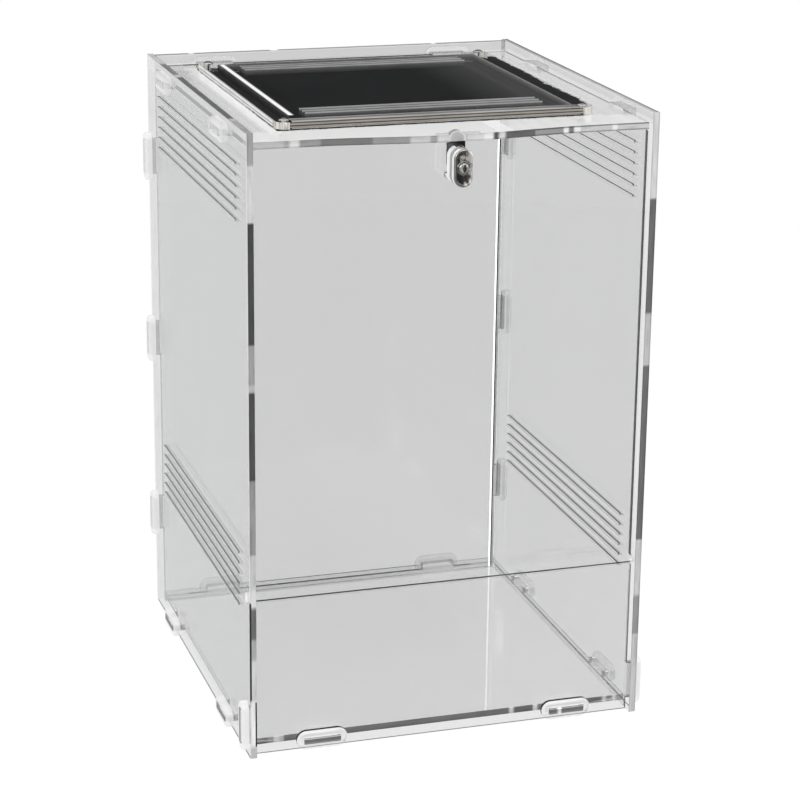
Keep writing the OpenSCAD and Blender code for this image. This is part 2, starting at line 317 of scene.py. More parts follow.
def side_sheet(name, s):
    """A side panel: s is -1 on the left, 1 on the right."""
    g = S(name, "X")
    t = g.maprange(g.math("MULTIPLY", g.x, float(s)), 145.0, 150.0)      # 0 inside, 1 outside
    front, rear = g.lt(g.y, -151.6), g.gt(g.y, 166.8)
    top, bottom = g.gt(g.z, 459.2), g.lt(g.z, 0.8)
    if s < 0:
        fc = g.steps(g.z, [(0, 196), (9, 246), (45, 214), (77, 176), (93, 116), (113, 116), (117, 222), (131, 205), (157, 155), (213, 85),
                           (278, 190), (283, 162), (312, 80), (398, 216), (438, 165), (460, 165)])
        shade = g.ramp(t, [(0.0, 0.95), (0.55, 1.0), (0.84, 0.88)])
        border = g.steps(g.z, [(0, 225), (45, 58), (121, 238), (460, 238)])
        low = g.within(g.z, 45.0, 121.0)
        fc = g.pick(g.either(g.gt(t, 0.87), g.both(low, g.gt(t, 0.72))), border, fc)
        inner = g.both(g.within(g.z, 9.0, 44.0), g.lt(t, 0.22))
        fc = g.pick(inner, lin(52), fc)
        tc = g.steps(g.y, [(-153, 165), (-108, 190), (-101, 108), (62, 196), (72, 132), (120, 196), (168, 196)], 5.0)
        tshade = g.ramp(t, [(0.0, 0.8), (0.2, 1.0), (0.8, 1.0), (1.0, 0.8)])
    else:
        fc = g.steps(g.z, [(0, 195), (64, 150), (95, 200), (139, 112), (274, 190), (313, 110), (398, 212), (460, 212)])
        shade = g.ramp(t, [(0.0, 0.8), (0.12, 0.8), (0.16, 1.1), (0.8, 1.0), (0.9, 0.75), (1.0, 0.7)])
        tc = g.steps(g.y, [(-153, 170), (20, 150), (168, 150)], 12.0)
        tshade = g.ramp(t, [(0.0, 1.35), (0.45, 1.25), (0.6, 0.8), (1.0, 0.5)])
    fc = g.mixc(1.0, fc, shade, "MULTIPLY")
    tc = g.mixc(1.0, tc, tshade, "MULTIPLY")
    # vent slots: painted shade along the upper edge, painted light along the lower
    high = g.gt(g.z, 250.0)
    off = g.math("MULTIPLY_ADD", high, 285.0, 107.5)
    u = g.math("SUBTRACT", g.math("FRACT", g.math("ADD", g.math("DIVIDE", g.math("SUBTRACT", g.z, off), 8.0), 0.5)), 0.5)
    slot = g.both(g.within(g.y, -120.0, 131.2), g.either(g.within(g.z, 106.0, 149.0), g.within(g.z, 391.0, 434.0)))
    up = g.maprange(u, -0.07, 0.05)
    sc_ = g.mixc(up, lin(214), lin(58))
    near = g.gt(t, 0.74) if s < 0 else g.lt(t, 0.26)
    thin = g.gt(t, 0.86) if s < 0 else g.lt(t, 0.14)
    sa = g.math("MULTIPLY_ADD", g.math("MULTIPLY", near, up), 0.93, 0.03)
    sa = g.either(sa, g.math("MULTIPLY", thin, 0.55))
    # walls of the mortises, and of the hinge hole, which is painted bright as a highlight
    hinge = g.within(g.z, 116.0, 129.0)
    oc = g.pick(hinge, lin(235), lin(150))
    ba = g.math("MULTIPLY_ADD", g.gt(t, 0.80), 0.8, 0.04)
    ta = g.ramp(t, [(0.0, 0.15), (0.10, 0.2), (0.2, 1.0)]) if s < 0 else g.ramp(t, [(0.0, 0.7), (0.5, 0.8), (0.7, 1.0)])
    ecol = g.chain([(front, fc), (top, tc), (rear, lin(232)), (bottom, lin(105)), (slot, sc_)], oc)
    ealp = g.chain([(front, 1.0), (top, ta), (rear, 0.45), (bottom, ba), (slot, sa)], g.math("MULTIPLY_ADD", hinge, 0.8, 0.12))
    # painted light: the strip behind the back panel is paler
    haze_and_painted_light = g.math("MULTIPLY", g.within(g.y, 163.6, 167.6), 0.45 if s < 0 else 0.06)
    # the strip that stands above the roof: painted light on the left, painted shade on the right
    above = g.within(g.z, 450.0 if s < 0 else 452.3, 459.2)
    haze_and_painted_light = g.math("MAXIMUM", haze_and_painted_light, g.math("MULTIPLY", above, 0.36 if s < 0 else 0.11))
    hc = g.pick(above, 0.99 if s < 0 else 0.03, 0.99)
    # the roof's edge, seen through the panel it meets, painted as a dark band of painted shade on the panel's inner
    # face
    face_in = g.gt(g.x, -145.6) if s < 0 else g.lt(g.x, 145.6)
    if s < 0:
        band = g.within(g.z, 446.7, 450.2)
        runs = g.either(g.within(g.y, -33.0, 90.0), g.within(g.y, -122.0, -92.0))
        m = g.both(face_in, g.both(band, runs))
    else:
        m = g.both(face_in, g.both(g.within(g.z, 451.2, 452.1), g.within(g.y, -140.0, 158.0)))
    fine = g.noise(g.mapping(g.obj, scale=(40, 9, 40)), scale=4.0, detail=2.0)
    dk = g.diffuse(g.ramp(fine, [(0.3, (0.004, 0.004, 0.005)), (0.7, (0.030, 0.030, 0.032))]))
    return g.finish_sheet(0.863 if s < 0 else 0.917, ecol, ealp, haze_and_painted_light=haze_and_painted_light, haze_and_painted_light_c=hc, over=[(g.both(m, 0.95 if s < 0 else 0.75), dk)])


put_mat("left_side_panel", side_sheet("sheet_left", -1))
put_mat("right_side_panel", side_sheet("sheet_right", 1))


def back_sheet():
    g = S("sheet_back", "Y")
    top, bottom = g.gt(g.z, 459.2), g.lt(g.z, 0.8)
    right, left = g.within(g.x, 144.6, 145.6), g.within(g.x, -145.6, -144.6)
    tc = g.steps(g.x, [(-145, 120), (-118, 215), (-114, 130), (-52, 225), (-46, 132), (20, 140), (82, 215), (86, 130), (145, 130)])
    th = g.maprange(g.y, 158.1, 163.1)
    tc = g.mixc(1.0, tc, g.ramp(th, [(0.0, 0.7), (0.4, 1.0), (0.6, 1.5), (1.0, 1.6)]), "MULTIPLY")
    ecol = g.chain([(top, tc), (bottom, lin(115)), (right, (0.006, 0.009, 0.016)), (left, lin(150))], lin(190))
    ba = g.math("MULTIPLY_ADD", g.gt(th, 0.75), 0.6, 0.04)
    ealp = g.chain([(top, 0.9), (bottom, ba), (right, 0.3), (left, 0.5)], 0.2)
    # the right border gathers light: a bright line beside a dark one
    back = g.both(g.gt(g.y, 161.5), g.lt(g.z, 447.0))
    fine = g.noise(g.mapping(g.obj, scale=(40, 40, 6)), scale=4.0, detail=2.0)
    glow = g.node("ShaderNodeEmission")
    g.put(glow.inputs[0], g.ramp(fine, [(0.3, (0.95, 0.96, 0.98)), (0.7, (1.0, 1.0, 1.0))]))
    glow.inputs[1].default_value = 2.4
    bright = g.both(back, g.within(g.x, 142.5, 143.95))
    bright = g.both(bright, g.maprange(g.z, 402.0, 380.0, 0.25, 1.0))
    dark = g.both(back, g.within(g.x, 143.95, 145.1))
    # painted shade: the strip that stands above the roof is darker
    above = g.math("MULTIPLY", g.within(g.z, 452.3, 459.2), 0.12)
    return g.finish_sheet(0.918, ecol, ealp, haze_and_painted_light=above, haze_and_painted_light_c=0.03, over=[(g.both(bright, 0.92), glow.outputs[0]), (g.both(dark, 0.93), g.diffuse((0.006, 0.009, 0.018)))])


put_mat("back_panel", back_sheet())


def front_sheet(name, side, top_c, bottom_c, hi, lo, end_x=150.2, end_c=150):
    """The door and the lower front panel: thin dark edges and bands of painted light and
    shade; the door's hinge-ear ends are painted bright, a painted highlight.
    """
    g = S(name, "Y")
    top, bottom = g.gt(g.z, hi - 0.6), g.lt(g.z, lo + 0.6)
    ends = g.gt(g.math("ABSOLUTE", g.x), end_x)
    sides = g.gt(g.math("ABSOLUTE", g.x), 143.0)
    th = g.maprange(g.y, -145.4, -140.4)
    tcol = g.mixc(1.0, g.steps(g.x, top_c, 8.0), g.ramp(th, [(0.0, 1.2), (0.5, 1.2), (0.6, 0.8), (1.0, 0.7)]), "MULTIPLY")
    ecol = g.chain([(ends, lin(end_c)), (top, tcol), (bottom, lin(bottom_c)), (sides, lin(side))], lin(190))
    wide = 0.78 if end_x < 150.0 else 0.5
    line = g.ramp(th, [(0.0, 0.30), (0.10, 0.30), (0.16, 0.05), (0.46, 0.05), (0.52, 0.97), (1.0, 0.97)])
    base = g.ramp(th, [(0.0, 0.9), (0.26, 0.9), (0.34, 0.04)])
    ealp = g.chain([(ends, 0.95), (top, line), (bottom, base), (sides, g.ramp(th, [(0.0, 0.95), (wide, 0.95), (wide + 0.08, 0.3)]))], 0.15)
    return g.finish_sheet(0.918, ecol, ealp)


put_mat("front_door", front_sheet("sheet_door", 66, [(-145, 150), (145, 150)], 70, 446.4, 119.5, 145.6, 252))
put_mat("lower_front_panel", front_sheet("sheet_lower", 95, [(-145, 70), (-40, 62), (10, 45), (34, 120), (50, 70), (84, 95), (96, 125), (130, 95), (145, 95)], 112, 118.0, 0.0))


def floor_sheet():
    g = S("sheet_floor", "Z")
    s = g.maprange(g.z, 5.0, 10.0)
    front = g.lt(g.y, -139.0)
    rear = g.within(g.y, 157.0, 158.8)
    sides = g.within(g.math("ABSOLUTE", g.x), 144.6, 145.4)
    # painted light and shade: dark and bright bands on the front edge and the tab tips
    fc = g.steps(g.x, [(-145, 104), (-134, 150), (-129.5, 222), (-125.5, 196), (-122, 114), (53, 215), (56.5, 105), (72, 220), (75.5, 112), (128, 212), (131, 125), (136, 218), (139, 125), (145, 125)], 1.4)
    fc = g.mixc(1.0, fc, g.ramp(s, [(0.0, 0.75), (0.15, 0.85), (0.4, 1.0), (0.85, 1.05), (0.93, 1.5), (1.0, 1.5)]), "MULTIPLY")
    tips = g.either(g.gt(g.math("ABSOLUTE", g.x), 148.0), g.lt(g.y, -145.0))
    lc = g.ramp(s, [(0.0, lin(70)), (0.25, lin(88)), (0.35, lin(235)), (0.65, lin(235)), (0.75, lin(140)), (1.0, lin(120))])
    la = g.ramp(s, [(0.0, 0.95), (0.20, 0.95), (0.26, 0.05), (0.84, 0.05), (0.88, 0.85), (1.0, 0.85)])
    tcol = g.steps(g.x, [(-150, 120), (-81, 112), (83, 112), (88, 225), (91, 112), (150, 112)], 0.8)
    tcol = g.pick(g.gt(g.x, 148.0), lin(214), tcol)
    tcol = g.mixc(1.0, tcol, g.ramp(s, [(0.0, 1.35), (0.2, 1.25), (0.45, 0.95), (0.74, 0.80), (0.78, 3.2), (0.90, 3.2), (0.93, 0.9), (1.0, 0.9)]), "MULTIPLY")
    ecol = g.chain([(tips, tcol), (front, fc), (rear, lc), (sides, lc)], lin(120))
    ealp = g.chain([(tips, 0.95), (front, 0.97), (rear, la), (sides, la)], 0.5)
    # painted light: the floor panel turns paler towards the right
    fade = g.math("MULTIPLY", g.maprange(g.x, 40.0, 100.0), 0.10)
    return g.finish_sheet(0.970, ecol, ealp, top=0.75, haze_and_painted_light=fade, haze_and_painted_light_c=0.99)


put_mat("floor_panel", floor_sheet())


def roof_sheet():
    g = S("sheet_roof", "Z")
    s = g.maprange(g.z, 447.0, 452.0)
    ax = g.math("ABSOLUTE", g.x)
    lockslot = g.both(g.within(g.x, -16.0, 18.6), g.within(g.y, -152.4, -140.0))
    front = g.lt(g.y, -143.0)
    tips = g.gt(ax, 148.0)
    sides = g.within(ax, 144.4, 145.6)
    rear = g.within(g.y, 157.0, 158.8)
    fc = g.steps(g.x, [(-145, 188), (-122, 170), (-118, 222), (-111, 150), (-96, 118), (-60, 150), (-34, 200), (-20, 160), (-15, 215), (19, 236),
                       (26, 70), (30, 215), (35, 96), (60, 150), (145, 150)], 1.6)
    right_end = g.gt(g.x, 58.0)
    fr = g.steps(g.x, [(50, 150), (80, 240), (84, 120), (88, 240), (93, 205), (117, 245), (121, 205), (145, 205)], 1.6)
    fc = g.pick(right_end, fr, fc)
    fc = g.mixc(1.0, fc, g.ramp(s, [(0.0, 0.7), (0.12, 0.8), (0.3, 1.05), (0.8, 1.0), (1.0, 0.8)]), "MULTIPLY")
    fc = g.mixc(right_end, fc, g.mixc(1.0, fc, g.ramp(s, [(0.0, 0.62), (0.14, 0.62), (0.2, 1.0), (0.76, 1.0), (0.82, 0.40), (1.0, 0.40)]), "MULTIPLY"))
    sc_ = g.steps(g.y, [(-146, 20), (-60, 30), (60, 20), (158, 20)], 10.0)
    lc = g.ramp(s, [(0.0, lin(90)), (0.3, lin(110)), (0.4, lin(230)), (0.7, lin(230)), (0.85, lin(120)), (1.0, lin(95))])
    la = g.ramp(s, [(0.0, 0.06), (0.76, 0.04), (0.82, 0.95), (1.0, 0.95)])
    lc = g.mixc(0.6, lc, g.ramp(s, [(0.0, lin(90)), (0.7, lin(200)), (0.8, lin(30)), (1.0, lin(30))]))
    right = g.gt(g.x, 0.0)
    ecol = g.chain([(tips, lin(125)), (lockslot, lin(190)), (front, fc), (rear, lc), (sides, g.pick(right, lc, sc_))], lin(190))
    ll = g.ramp(s, [(0.0, 0.98), (0.62, 0.98), (0.70, 0.05)])
    ealp = g.chain([(tips, 0.08), (lockslot, 0.45), (front, 0.95), (rear, la), (sides, g.pick(right, la, ll))], 0.2)
    # light thrown on the roof beside the vent frame
    dx = g.math("SUBTRACT", ax, 118.0)
    dy = g.math("SUBTRACT", g.math("ABSOLUTE", g.math("SUBTRACT", g.y, 11.6)), 122.5)
    d = g.math("MAXIMUM", dx, dy)
    glow = g.both(g.maprange(d, 1.0, 13.0, 1.0, 0.0, smooth=True), g.gt(d, 0.0))
    side = g.either(g.both(g.lt(g.x, -117.0), 0.85), g.both(g.lt(g.y, -110.0), 0.6))
    n = g.noise(g.mapping(g.obj, scale=(1, 1, 1)), scale=14.0, detail=2.0)
    haze_and_painted_light = g.math("MULTIPLY", g.math("MULTIPLY", glow, side), g.maprange(n, 0.3, 0.7, 0.85, 1.0))
    strip = g.math("MULTIPLY", g.maprange(g.y, -108.0, -116.0), 0.62)
    haze_and_painted_light = g.math("MAXIMUM", haze_and_painted_light, strip)
    spot = g.both(g.within(g.x, 30.0, 42.0), g.lt(g.y, -113.0))
    haze_and_painted_light = g.math("MAXIMUM", haze_and_painted_light, g.math("MULTIPLY", spot, 0.9))
    beside = g.math("MULTIPLY", g.gt(g.x, 118.0), 0.30)
    haze_and_painted_light = g.math("MAXIMUM", haze_and_painted_light, beside)
    haze_and_painted_light = g.math("ADD", haze_and_painted_light, 0.02)
    # painted shade: the dark band of the roof's left edge, also laid on its underside
    runs = g.either(g.within(g.y, -28.0, 92.0), g.within(g.y, -118.0, -90.0))
    under = g.both(g.both(g.lt(g.z, 447.4), g.within(g.x, -145.1, -141.7)), runs)
    fine = g.noise(g.mapping(g.obj, scale=(40, 9, 40)), scale=4.0, detail=2.0)
    dk = g.diffuse(g.ramp(fine, [(0.3, (0.004, 0.004, 0.005)), (0.7, (0.030, 0.030, 0.032))]))
    return g.finish_sheet(0.972, ecol, ealp, haze_and_painted_light=haze_and_painted_light, haze_and_painted_light_c=0.98, over=[(g.both(under, 0.96), dk)])


put_mat("roof_panel", roof_sheet())


def ring_sheet():
    g = S("sheet_vent_frame", "Z")
    s = g.maprange(g.z, 452.4, 457.4)
    inner = g.both(g.within(g.x, -105.8, 105.8), g.within(g.y, -98.6, 121.8))
    n = g.noise(g.mapping(g.obj, scale=(260, 260, 20)), scale=1.0, detail=3.0, rough=0.7)
    vert = g.ramp(n, [(0.36, 0.25), (0.44, 0.9), (0.55, 1.15), (0.62, 0.55), (0.70, 1.1)])
    # painted light and shade: the frame's inner and outer walls carry bands of dark and bright, and its corners streaks
    # of light
    i_left = g.ramp(s, [(0.0, lin(22)), (0.5, lin(30)), (0.9, (0.035, 0.030, 0.024)), (1.0, (0.05, 0.04, 0.03))])
    i_right = g.ramp(s, [(0.0, lin(38)), (0.5, lin(78)), (0.92, lin(118)), (0.96, lin(150)), (1.0, lin(150))])
    i_front = g.ramp(s, [(0.0, lin(60)), (0.4, lin(120)), (0.5, lin(185)), (0.6, lin(110)), (1.0, lin(90))])
    i_rear = g.ramp(s, [(0.0, lin(50)), (0.3, lin(95)), (0.45, lin(70)), (0.7, lin(115)), (1.0, lin(60))])
    ic = g.chain([(g.lt(g.x, -103.5), i_left), (g.gt(g.x, 103.5), i_right), (g.lt(g.y, -90.0), i_front)], i_rear)
    o_left = g.ramp(s, [(0.0, lin(150)), (0.10, lin(190)), (0.30, lin(232)), (0.44, lin(226)), (0.50, lin(150)), (0.58, lin(150)), (0.64, lin(242)), (0.95, lin(240)), (1.0, lin(160))])
    o_front = g.ramp(s, [(0.0, (0.020, 0.016, 0.012)), (0.08, (0.10, 0.08, 0.06)), (0.14, (0.20, 0.17, 0.13)), (0.22, (0.36, 0.33, 0.28)), (0.38, (0.38, 0.35, 0.30)), (0.44, (0.055, 0.050, 0.045)), (0.56, (0.055, 0.050, 0.045)), (0.62, (0.36, 0.33, 0.29)), (0.80, (0.42, 0.39, 0.35)), (0.86, (0.10, 0.09, 0.085)), (1.0, (0.11, 0.10, 0.095))])
    ragged = g.noise(g.mapping(g.obj, scale=(300, 420, 30)), scale=1.0, detail=4.0, rough=0.8)
    fringe = g.both(g.both(g.lt(g.x, -116.0), g.lt(g.y, -30.0)), g.both(g.lt(s, 0.16), g.gt(ragged, 0.47)))
    o_left = g.pick(fringe, lin(34), o_left)
    o_front = g.mixc(0.5, o_front, g.mixc(1.0, o_front, g.noise_streaks(), "MULTIPLY"))
    o_dark = g.ramp(s, [(0.0, lin(40)), (0.5, lin(70)), (1.0, lin(90))])
    corner = g.both(g.gt(g.math("ABSOLUTE", g.x), 108.4), g.gt(g.math("ABSOLUTE", g.math("SUBTRACT", g.y, 11.6)), 113.0))
    ccol = g.mixc(1.0, (0.76, 0.73, 0.68), vert, "MULTIPLY")
    oc = g.chain([(corner, ccol), (g.lt(g.x, -116.0), o_left), (g.lt(g.y, -108.0), o_front)], o_dark)
    ecol = g.pick(inner, ic, oc)
    clearwall = g.both(g.either(g.gt(g.x, 117.4), g.gt(g.y, 133.5)), g.math("SUBTRACT", 1.0, corner))
    low = g.both(g.both(g.lt(g.y, -109.0), g.lt(s, 0.24)), g.math("SUBTRACT", 1.0, corner))
    ealp = g.pick(inner, 0.97, g.pick(g.either(clearwall, low), 0.10, 0.93))
    # painted light: the front limb's top shows the bright cut edges below it, and the left limb's outer strip a bright
    # line
    limb = g.both(g.lt(g.y, -97.6), g.within(g.x, -106.0, 108.0))
    lc = g.steps(g.y, [(-111, 92), (-109.6, 196), (-106.2, 160), (-103.6, 104), (-101.6, 142), (-99.0, 178), (-97.6, 178)], 1.0)
    lc = g.mixc(0.75, lc, g.mixc(1.0, lc, g.noise_streaks(), "MULTIPLY"))
    left = g.both(g.lt(g.x, -116.6), g.gt(g.y, -108.0))
    rl = g.both(g.gt(g.x, 104.8), g.lt(g.x, 105.6))
    haze_and_painted_light = g.chain([(limb, 0.80), (left, 0.55), (rl, 0.25)], 0.012)
    hc = g.chain([(limb, lc), (left, g.steps(g.x, [(-118, 225), (-117.2, 120), (-116.6, 120)], 0.3))], lin(150))
    return g.finish_sheet(0.985, ecol, ealp, f0=0.012, top=0.12, haze_and_painted_light=haze_and_painted_light, haze_and_painted_light_c=hc)


def noise_streaks(self):
    n = self.noise(self.mapping(self.obj, scale=(22, 300, 300)), scale=1.0, detail=3.0, rough=0.65)
    return self.ramp(n, [(0.34, (0.45, 0.43, 0.40)), (0.48, (0.95, 0.94, 0.92)), (0.60, (1.15, 1.13, 1.10)), (0.72, (0.7, 0.68, 0.66))])


S.noise_streaks = noise_streaks
put_mat("vent_frame", ring_sheet())


def plate_sheet():
    g = S("sheet_vent_plate", "Z")
    s = g.maprange(g.z, 452.4, 457.4)
    inner = g.both(g.within(g.x, -100.0, 100.0), g.within(g.y, -92.0, 112.0))
    sc_ = g.ramp(s, [(0.0, lin(50)), (0.5, lin(78)), (0.82, lin(100)), (0.9, lin(172)), (1.0, lin(172))])
    oc = g.ramp(s, [(0.0, lin(40)), (0.6, lin(60)), (0.9, lin(120)), (1.0, lin(130))])
    ecol = g.pick(inner, sc_, oc)
    ealp = g.pick(inner, 0.8, 0.5)
    # the plate's left border gathers light
    line = g.both(g.within(g.x, -103.4, -98.4), g.within(g.y, -86.0, 121.0))
    lc = g.ramp(g.maprange(g.x, -103.4, -98.4), [(0.0, lin(60)), (0.22, lin(235)), (0.32, lin(255)), (0.68, lin(255)), (0.80, lin(190)), (1.0, lin(44))])
    sheen = g.maprange(g.x, 40.0, 104.0, 0.0, 0.050)
    haze_and_painted_light = g.math("MAXIMUM", g.both(line, 0.95), sheen)
    return g.finish_sheet(0.99, ecol, ealp, f0=0.012, top=0.10, haze_and_painted_light=haze_and_painted_light, haze_and_painted_light_c=g.pick(line, lc, 0.8))


put_mat("vent_plate", plate_sheet())

for n in ("left_side_panel", "right_side_panel", "back_panel", "floor_panel", "roof_panel",
          "lower_front_panel", "front_door", "vent_frame", "vent_plate", "vent_mesh"):
    clear_part(n)


# ---------------------------------------------------------------- clips

def clip_mat(name, white=0.96, body=0.55, rim=0.3, contact_shadow=False, dark=None, gloss=1.0):
    """Clear snap clips: milky where light gathers, with a thin dark upper outline of
    painted contact shadow in front.
    """
    g = S(name, "X")
    n = g.noise(g.obj, scale=90.0, detail=3.0)
    c = g.ramp(n, [(0.3, white * 0.95), (0.65, white)])
    lw = g.node("ShaderNodeLayerWeight")
    lw.inputs["Blend"].default_value = 0.4
    a = g.maprange(lw.outputs["Facing"], 0.05, 0.9, body, min(body + rim, 1.0))
    if contact_shadow:
        # painted contact shadow: dark where the clip meets the panel in front
        near = g.both(g.gt(g.y, -148.0), g.lt(g.math("ABSOLUTE", g.x), 140.0))
        near = g.both(near, g.both(g.lt(g.n[1], 0.5), g.gt(g.z, 2.4)))
        c = g.pick(near, lin(24), c)
        fade = g.either(g.maprange(g.z, 2.2, 5.5, 0.10, 1.0), g.gt(g.math("ABSOLUTE", g.x), 140.0))
        a = g.either(g.both(a, fade), g.both(near, 0.97))
    sh = g.mix(a, g.transparent(0.985 + 0.013 * (1.0 - min(gloss, 1.0))), g.diffuse(c))
    sh = g.mix(g.fresnel(0.04 * gloss, 0.5 * gloss), sh, g.glossy(1.0, 0.08))
    if dark is not None:
        x0, x1, y0, y1 = dark
        m = g.both(g.within(g.x, x0, x1), g.within(g.y, y0, y1))
        sh = g.mix(g.both(m, 0.93), sh, g.diffuse((0.010, 0.014, 0.030)))
    return g.done(sh)


CLIP_FRONT = clip_mat("clip_clear_front", body=0.72, rim=0.2, contact_shadow=True)
CLIP_SIDE = clip_mat("clip_clear_side", body=0.50, rim=0.25)
CLIP_RIGHT = clip_mat("clip_clear_right", body=0.60, rim=0.25, dark=(149.9, 153.4, 165.7, 168.6))
CLIP_FAINT = clip_mat("clip_clear_roof", body=0.012, rim=0.02, gloss=0.05)
CLIP_LEFT = clip_mat("clip_clear_roof_left", body=0.30, rim=0.15, gloss=0.4)
for n in NODES:
    if n.endswith("_clips") or n.endswith("_clip"):
        if n.startswith("roof"):
            put_mat(n, CLIP_LEFT if "left" in n else CLIP_FAINT)
        elif n.startswith("floor_front") or n.startswith("front"):
            put_mat(n, CLIP_FRONT)
        elif n.startswith("back_right"):
            put_mat(n, CLIP_RIGHT)
        else:
            put_mat(n, CLIP_SIDE)
        clear_part(n)


# ---------------------------------------------------------------- metals

def chrome_mat(name, base=0.82, rough=0.06):
    g = G(name)
    obj = g.coord("Object")
    n = g.noise(g.mapping(obj, scale=(60, 60, 60)), scale=3.0, detail=4.0)
    r = g.maprange(n, 0.35, 0.75, rough * 0.7, rough * 1.9)
    c = g.ramp(n, [(0.3, (base * 0.96, base * 0.97, base)), (0.7, (base, base, base))])
    fine = g.noise(g.mapping(obj, scale=(300, 300, 300)), scale=6.0, detail=2.0)
    b = g.bump(fine, 0.05, 0.0002)
    return g.done(g.principled(Base_Color=c, Metallic=1.0, Roughness=r, Normal=b))


CHROME = chrome_mat("chrome_lock", 0.93, 0.05)


def cam_mat():
    """The tongue: chrome, with painted light where it stands in the roof's slot: a pale
    diffuse grey with a bright rim; below that, mostly near-black diffuse.
    """
    g = S("chrome_tongue", "Y")
    n = g.noise(g.obj, scale=120.0, detail=3.0)
    r = g.maprange(n, 0.35, 0.75, 0.05, 0.12)
    chrome = g.principled(Base_Color=g.ramp(n, [(0.3, 0.84), (0.7, 0.9)]), Metallic=1.0, Roughness=r)
    up = g.gt(g.z, 446.8)
    dz = g.math("SUBTRACT", g.z, 448.2)
    rr = g.math("SQRT", g.math("ADD", g.math("MULTIPLY", g.x, g.x), g.math("MULTIPLY", dz, dz)))
    rim = g.either(g.gt(g.math("ABSOLUTE", g.x), 5.0), g.both(g.gt(dz, 0.0), g.gt(rr, 5.1)))
    c = g.pick(rim, lin(238), g.ramp(n, [(0.35, lin(192)), (0.65, lin(222))]))
    rim2 = g.lt(g.n[1], 0.5)
    c = g.pick(g.both(rim2, g.gt(g.z, 451.0)), lin(160), c)
    below = g.mix(0.12, g.diffuse(g.ramp(n, [(0.3, (0.012, 0.012, 0.017)), (0.7, (0.024, 0.024, 0.034))])), chrome)
    return g.done(g.mix(up, below, g.mix(0.15, g.diffuse(c), g.glossy(0.9, 0.2))))


STEEL = chrome_mat("steel_screws", 0.62, 0.11)


def housing_mat():
    """Chrome, with a painted reflection of dark and bright patches in front, and on its
    sides painted streaks of bright and dark, as the studio lights a polished curve."""
    g = S("chrome_housing", "Y")
    n = g.noise(g.mapping(g.obj, scale=(60, 60, 60)), scale=3.0, detail=4.0)
    r = g.maprange(n, 0.35, 0.75, 0.035, 0.10)
    wavy = g.noise(g.mapping(g.obj, scale=(240, 240, 170)), scale=1.0, detail=2.0)
    b = g.bump(wavy, 0.55, 0.0011)
    chrome = g.principled(Base_Color=g.ramp(n, [(0.3, (0.84, 0.82, 0.79)), (0.7, (0.93, 0.92, 0.90))]), Metallic=1.0, Roughness=r, Normal=b)
    side = g.both(g.gt(g.n[0], 0.35), g.gt(g.y, -166.2))
    c = g.steps(g.y, [(-168, 150), (-167.0, 255), (-162.8, 170), (-157.4, 255), (-147.4, 165), (-145, 165)], 0.9)
    c = g.mixc(1.0, c, g.ramp(g.noise(g.mapping(g.obj, scale=(30, 200, 60)), scale=3.0, detail=2.0), [(0.3, 0.88), (0.7, 1.08)]), "MULTIPLY")
    painted_side_streaks = g.mix(0.15, g.diffuse(c), g.glossy(0.95, 0.12))
    # painted reflection on the front: dark patches low on the left, bright on the right
    patch = g.noise(g.mapping(g.obj, scale=(250, 90, 170)), scale=1.0, detail=2.5, rough=0.6)
    lean = g.math("ADD", g.maprange(g.x, -6.0, 7.0, -0.20, 0.22), g.maprange(g.z, 418.0, 444.0, -0.06, 0.06))
    painted_reflection = g.ramp(g.math("ADD", patch, lean), [(0.34, (0.012, 0.012, 0.013)), (0.46, (0.05, 0.045, 0.04)), (0.56, (0.20, 0.18, 0.165)), (0.68, (0.86, 0.83, 0.80))])
    front = g.both(g.lt(g.y, -164.9), g.gt(g.n[1], 0.25))
    slant = g.lt(g.n[1], 0.93)
    chrome_and_painted_reflection = g.mix(g.both(front, g.math("MULTIPLY_ADD", slant, 0.10, 0.68)), chrome, g.mix(0.25, g.diffuse(painted_reflection), g.glossy(0.9, 0.1)))
    return g.done(g.mix(g.both(side, 0.94), chrome_and_painted_reflection, painted_side_streaks))


HOUSING = housing_mat()


def screw_mat():
    """Vent screws: bright steel round the rim; the flat of the head that looks up is
    painted dark, a painted reflection.
    """
    g = S("steel_vent_screws", "Z")
    n = g.noise(g.mapping(g.obj, scale=(60, 60, 60)), scale=3.0, detail=4.0)
    steel = g.principled(Base_Color=g.ramp(n, [(0.3, 0.62), (0.7, 0.74)]), Metallic=1.0, Roughness=g.maprange(n, 0.35, 0.75, 0.08, 0.20))
    flat = g.both(g.gt(g.n[2], 0.80), g.gt(g.z, 458.0))
    dark = g.mix(0.25, g.diffuse(g.ramp(n, [(0.3, (0.020, 0.017, 0.014)), (0.7, (0.06, 0.05, 0.042))])), steel)
    return g.done(g.mix(flat, steel, dark))


def pale_mat():
    """The screws behind the door take on the pale light inside."""
    g = G("steel_inside")
    n = g.noise(g.mapping(g.coord("Object"), scale=(60, 60, 60)), scale=3.0, detail=4.0)
    steel = g.principled(Base_Color=g.ramp(n, [(0.3, 0.72), (0.7, 0.80)]), Metallic=1.0, Roughness=0.3)
    return g.done(g.mix(0.96, steel, g.diffuse(g.ramp(n, [(0.3, lin(216)), (0.7, lin(226))]))))


for n in ("lock_housing", "lock_plug"):
    put_mat(n, CHROME)
put_mat("lock_cam", cam_mat())
put_mat("vent_screws", screw_mat())
put_mat("lock_screws", pale_mat())
for n in ("vent_washers", "vent_nuts", "cam_screw"):
    put_mat(n, STEEL)


